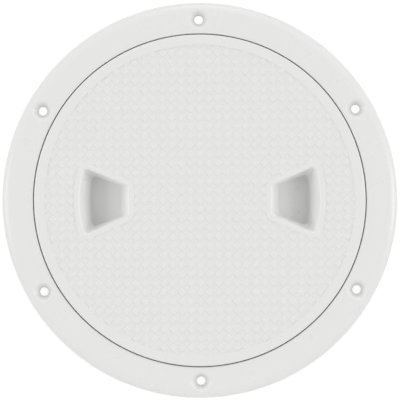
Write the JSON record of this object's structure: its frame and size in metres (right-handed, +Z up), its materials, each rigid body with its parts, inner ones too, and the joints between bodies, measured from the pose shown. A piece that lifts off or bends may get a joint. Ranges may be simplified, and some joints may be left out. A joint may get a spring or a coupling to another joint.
{
  "type": "deck inspection plate",
  "caption": "Round screw-out deck inspection plate: a screw-down flange ring with a threaded collar, and a non-skid lid with two finger pockets and a seal.",
  "frame": {"origin": "centre of the flange's underside, in the plane of the deck it is screwed to", "axes": "+Z up out of the deck along the lid's axis, the two finger pockets lie along X, and the first screw hole is on +Y"},
  "size_m": [0.25, 0.25, 0.0268],
  "materials": {
    "ring_plastic": "satin white",
    "lid_plastic": "satin white",
    "seal_rubber": "matte black"
  },
  "bodies": {
    "ring": {"deck_ring": "ring_plastic"},
    "seal": {"o_ring": "seal_rubber"},
    "cover": {"lid": "lid_plastic"}
  },
  "joints": [
    {"name": "lid_lift", "type": "slide", "parent": "ring", "child": "seal", "axis": [0, 0, 1], "range_m": [0, 0.006]},
    {"name": "lid_turn", "type": "hinge", "parent": "seal", "child": "cover", "pos_m": [0, 0, 0], "axis": [0, 0, 1], "range_deg": [0, 360]}
  ],
  "couplings": [
    {"joint": "lid_lift", "follows": "lid_turn", "m_per_rad": 0.00095493}
  ]
}
